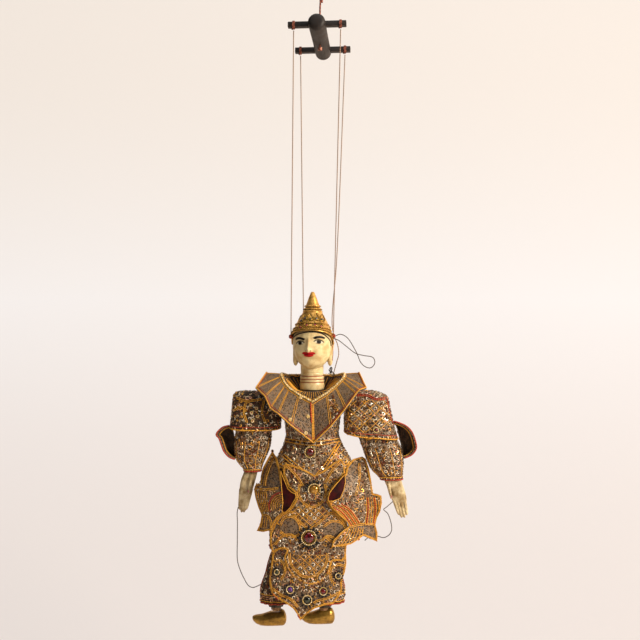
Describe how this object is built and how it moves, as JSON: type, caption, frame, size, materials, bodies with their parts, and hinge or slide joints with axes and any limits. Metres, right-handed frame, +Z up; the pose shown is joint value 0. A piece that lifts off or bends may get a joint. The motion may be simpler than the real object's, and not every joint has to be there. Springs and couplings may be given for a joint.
{
  "type": "string marionette",
  "caption": "Carved wooden string puppet in padded sequined court dress, hanging by four strings from a two-bar hand control.",
  "frame": {"origin": "top of the hanging cord's loop, where a hook or hand holds the toy", "axes": "+Z up, the figure faces -Y, +X to the viewer's right"},
  "size_m": [0.3273, 0.1316, 1.0935],
  "materials": {
    "black_wood": "black-stained turned wood",
    "pale_wood": "carved wood painted cream",
    "bare_wood": "bare carved wood",
    "gilt": "gilded wood",
    "glass_stone": "foil-backed glass stone in a bead ring",
    "sequin_cloth": "padded cloth covered with sequins and couched gold cord",
    "gold_cloth": "padded cloth with couched gold stripes",
    "dark_cloth": "dark metallic mesh cloth",
    "cotton": "pale brown cotton string",
    "red_cotton": "red-brown cotton cord",
    "dark_cotton": "dark cotton cord and beads",
    "brass_wire": "brass wire pin"
  },
  "bodies": {
    "control": {"hanging_cord": "red_cotton", "hanging_knot": "red_cotton", "control_handle": "black_wood", "front_bar": "black_wood", "rear_bar": "black_wood", "knot_front_left": "red_cotton", "knot_front_right": "red_cotton", "knot_rear_left": "red_cotton", "knot_rear_right": "red_cotton"},
    "trunk": {"temple_string_left": "cotton", "temple_string_right": "cotton", "shoulder_string_left": "cotton", "shoulder_string_right": "cotton", "torso_block": "bare_wood", "jacket": "sequin_cloth", "collar": "sequin_cloth", "hip_skirt": "dark_cloth", "waist_medallion": "glass_stone", "shoulder_rod": "bare_wood", "hip_rod": "bare_wood", "front_apron": "sequin_cloth", "lower_apron": "sequin_cloth", "apron_medallion_upper": "gilt", "apron_medallion_lower": "glass_stone"},
    "neck": {"neck": "pale_wood"},
    "head": {"head": "pale_wood", "crown": "gilt", "temple_knot_left": "red_cotton", "temple_knot_right": "red_cotton", "ear_tassel": "dark_cotton", "string_loop": "dark_cotton"},
    "upper_arm_left": {"upper_arm_left": "bare_wood", "upper_sleeve_left": "sequin_cloth", "elbow_pin_left": "brass_wire"},
    "forearm_left": {"forearm_left": "bare_wood", "lower_sleeve_left": "sequin_cloth", "wrist_pin_left": "brass_wire"},
    "hand_left": {"hand_left": "pale_wood", "hand_cord_left": "dark_cotton"},
    "thigh_left": {"thigh_left": "bare_wood", "knee_pin_left": "brass_wire"},
    "shin_left": {"shin_left": "bare_wood", "trouser_leg_left": "dark_cloth", "shoe_left": "gilt"},
    "upper_arm_right": {"upper_arm_right": "bare_wood", "upper_sleeve_right": "sequin_cloth", "elbow_pin_right": "brass_wire"},
    "forearm_right": {"forearm_right": "bare_wood", "lower_sleeve_right": "sequin_cloth", "wrist_pin_right": "brass_wire"},
    "hand_right": {"hand_right": "pale_wood", "hand_cord_right": "dark_cotton"},
    "thigh_right": {"thigh_right": "bare_wood", "knee_pin_right": "brass_wire"},
    "shin_right": {"shin_right": "bare_wood", "trouser_leg_right": "dark_cloth", "shoe_right": "gilt"},
    "side_flap_left": {"side_flap_left": "gold_cloth"},
    "side_flap_right": {"side_flap_right": "gold_cloth"}
  },
  "joints": [
    {"name": "figure_swing", "type": "hinge", "parent": "control", "child": "trunk", "pos_m": [0, 0, -0.094], "axis": [1, 0, 0], "range_deg": [-10, 10], "deforming": ["temple_string_left", "temple_string_right", "shoulder_string_left", "shoulder_string_right"]},
    {"name": "head_turn", "type": "hinge", "parent": "trunk", "child": "neck", "pos_m": [-0.0135, 0.004, -0.668], "axis": [0, 0, 1], "range_deg": [-35, 35]},
    {"name": "head_nod", "type": "hinge", "parent": "neck", "child": "head", "pos_m": [-0.0135, 0.004, -0.668], "axis": [1, 0, 0], "range_deg": [-10, 12], "stiffness_Nm_per_rad": 0.6},
    {"name": "shoulder_left", "type": "hinge", "parent": "trunk", "child": "upper_arm_left", "pos_m": [-0.086, 0, -0.713], "axis": [-1, 0, 0], "range_deg": [-25, 35], "deforming": ["hand_cord_left"]},
    {"name": "elbow_left", "type": "hinge", "parent": "upper_arm_left", "child": "forearm_left", "pos_m": [-0.13463, 0, -0.76335], "axis": [-1, 0, 0], "range_deg": [0, 18]},
    {"name": "wrist_left", "type": "hinge", "parent": "forearm_left", "child": "hand_left", "pos_m": [-0.11703, 0, -0.82904], "axis": [-1, 0, 0], "range_deg": [-20, 20]},
    {"name": "shoulder_right", "type": "hinge", "parent": "trunk", "child": "upper_arm_right", "pos_m": [0.06, 0, -0.713], "axis": [-1, 0, 0], "range_deg": [-25, 35], "deforming": ["hand_cord_right"]},
    {"name": "elbow_right", "type": "hinge", "parent": "upper_arm_right", "child": "forearm_right", "pos_m": [0.09812, 0, -0.77171], "axis": [-1, 0, 0], "range_deg": [0, 18]},
    {"name": "wrist_right", "type": "hinge", "parent": "forearm_right", "child": "hand_right", "pos_m": [0.12138, 0, -0.83561], "axis": [-1, 0, 0], "range_deg": [-20, 20]},
    {"name": "hip_left", "type": "hinge", "parent": "trunk", "child": "thigh_left", "pos_m": [-0.042, 0, -0.848], "axis": [-1, 0, 0], "range_deg": [-7, 3]},
    {"name": "knee_left", "type": "hinge", "parent": "thigh_left", "child": "shin_left", "pos_m": [-0.06, 0, -0.956], "axis": [1, 0, 0], "range_deg": [0, 20]},
    {"name": "hip_right", "type": "hinge", "parent": "trunk", "child": "thigh_right", "pos_m": [0.008, 0, -0.848], "axis": [-1, 0, 0], "range_deg": [-7, 3]},
    {"name": "knee_right", "type": "hinge", "parent": "thigh_right", "child": "shin_right", "pos_m": [0.007, 0, -0.956], "axis": [1, 0, 0], "range_deg": [0, 20]},
    {"name": "side_flap_swing_left", "type": "hinge", "parent": "trunk", "child": "side_flap_left", "pos_m": [-0.0705, -0.0056, -0.803], "axis": [0, 1, 0], "range_deg": [0, 12]},
    {"name": "side_flap_swing_right", "type": "hinge", "parent": "trunk", "child": "side_flap_right", "pos_m": [0.0495, -0.0056, -0.803], "axis": [0, -1, 0], "range_deg": [0, 12]}
  ]
}
